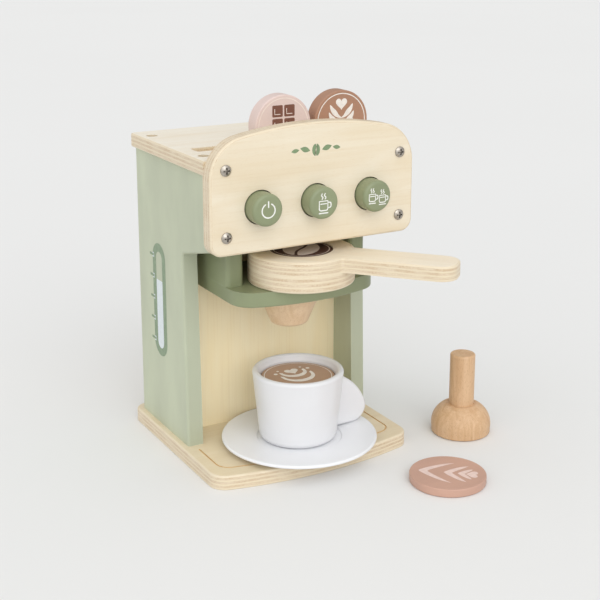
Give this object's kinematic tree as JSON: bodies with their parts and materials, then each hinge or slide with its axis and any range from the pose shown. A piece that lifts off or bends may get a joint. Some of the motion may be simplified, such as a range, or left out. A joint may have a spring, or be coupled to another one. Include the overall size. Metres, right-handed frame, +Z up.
{
  "type": "toy coffee maker",
  "caption": "Wooden play espresso machine with press buttons, slide-in portafilter, drink discs, cup, saucer and tamper.",
  "frame": {"origin": "on the underside of the base board, on the centre line, below the front face of the board at the back of the brewing bay", "axes": "+Z up, -Y towards the front where the child plays, +X to the right seen from the front"},
  "size_m": [0.2356, 0.2437, 0.2673],
  "materials": {
    "birch_plywood": "clear matt lacquer on birch plywood",
    "birch_board": "clear matt lacquer on pale wood",
    "sage_paint": "matt water-based paint, light sage",
    "olive_paint": "satin water-based paint, olive sage",
    "beech": "oiled turned beech",
    "pink_beech": "lightly stained turned beech",
    "pink_paint": "matt paint, dusty pink",
    "latte_paint": "matt paint, milky coffee brown",
    "dark_roast_paint": "satin paint, dark roast brown",
    "tan_paint": "matt paint, warm tan",
    "white_lacquer": "satin white lacquer on turned wood",
    "steel": "zinc-plated steel"
  },
  "bodies": {
    "machine": {"base_board": "birch_plywood", "left_side_panel": "sage_paint", "right_side_panel": "sage_paint", "recess_board": "birch_board", "rear_panel": "birch_board", "head_floor_board": "birch_board", "slot_floor_board": "birch_board", "button_guide_board": "birch_board", "top_plate": "birch_plywood", "front_panel": "birch_plywood", "filter_shelf": "olive_paint", "left_side_block": "olive_paint", "right_side_block": "olive_paint", "spout": "pink_beech", "spout_dowel": "beech", "front_panel_screws": "steel", "top_plate_screws": "steel", "base_screws": "steel", "shelf_screws": "steel", "block_screws": "steel", "power_spring": "steel", "one_cup_spring": "steel", "two_cup_spring": "steel"},
    "power_button": {"power_button": "olive_paint"},
    "one_cup_button": {"one_cup_button": "olive_paint"},
    "two_cup_button": {"two_cup_button": "olive_paint"},
    "portafilter_base": {"portafilter_ring": "birch_plywood"},
    "portafilter": {"portafilter_paddle": "birch_plywood"},
    "bean_disc": {"bean_disc": "dark_roast_paint"},
    "chocolate_disc": {"chocolate_disc": "pink_paint"},
    "rosette_disc": {"rosette_disc": "latte_paint"},
    "saucer": {"saucer": "white_lacquer"},
    "cup": {"cup_body": "white_lacquer", "cup_handle": "white_lacquer"},
    "cup_drink_disc": {"cup_drink_disc": "tan_paint"},
    "tamper": {"tamper_head": "beech", "tamper_handle": "beech"},
    "leaf_disc": {"leaf_disc": "tan_paint"}
  },
  "joints": [
    {"name": "power_button_press", "type": "slide", "parent": "machine", "child": "power_button", "axis": [0, 1, 0], "range_m": [0, 0.006], "stiffness_N_per_m": 300, "springref_m": -0.002, "deforming": ["power_spring"]},
    {"name": "one_cup_button_press", "type": "slide", "parent": "machine", "child": "one_cup_button", "axis": [0, 1, 0], "range_m": [0, 0.006], "stiffness_N_per_m": 300, "springref_m": -0.002, "deforming": ["one_cup_spring"]},
    {"name": "two_cup_button_press", "type": "slide", "parent": "machine", "child": "two_cup_button", "axis": [0, 1, 0], "range_m": [0, 0.006], "stiffness_N_per_m": 300, "springref_m": -0.002, "deforming": ["two_cup_spring"]},
    {"name": "portafilter_draw", "type": "slide", "parent": "machine", "child": "portafilter_base", "axis": [0, -1, 0], "range_m": [-0.0222, 0.07]},
    {"name": "portafilter_swing", "type": "hinge", "parent": "portafilter_base", "child": "portafilter", "pos_m": [0, -0.0614, 0.155], "axis": [0, 0, 1], "range_deg": [-80, 28]},
    {"name": "bean_disc_lift", "type": "slide", "parent": "portafilter", "child": "bean_disc", "axis": [0, 0, 1], "range_m": [0, 0.007]},
    {"name": "chocolate_disc_lift", "type": "slide", "parent": "machine", "child": "chocolate_disc", "axis": [0, 0, 1], "range_m": [0, 0.03]},
    {"name": "rosette_disc_lift", "type": "slide", "parent": "machine", "child": "rosette_disc", "axis": [0, 0, 1], "range_m": [0, 0.03]},
    {"name": "saucer_draw", "type": "slide", "parent": "machine", "child": "saucer", "axis": [0, -1, 0], "range_m": [0, 0.09]},
    {"name": "cup_lift", "type": "slide", "parent": "saucer", "child": "cup", "axis": [0, 0, 1], "range_m": [0, 0.03]},
    {"name": "cup_drink_disc_lift", "type": "slide", "parent": "cup", "child": "cup_drink_disc", "axis": [0, 0, 1], "range_m": [0, 0.02]},
    {"name": "tamper_lift", "type": "slide", "parent": "machine", "child": "tamper", "axis": [0, 0, 1], "range_m": [0, 0.06]},
    {"name": "leaf_disc_lift", "type": "slide", "parent": "machine", "child": "leaf_disc", "axis": [0, 0, 1], "range_m": [0, 0.04]}
  ]
}
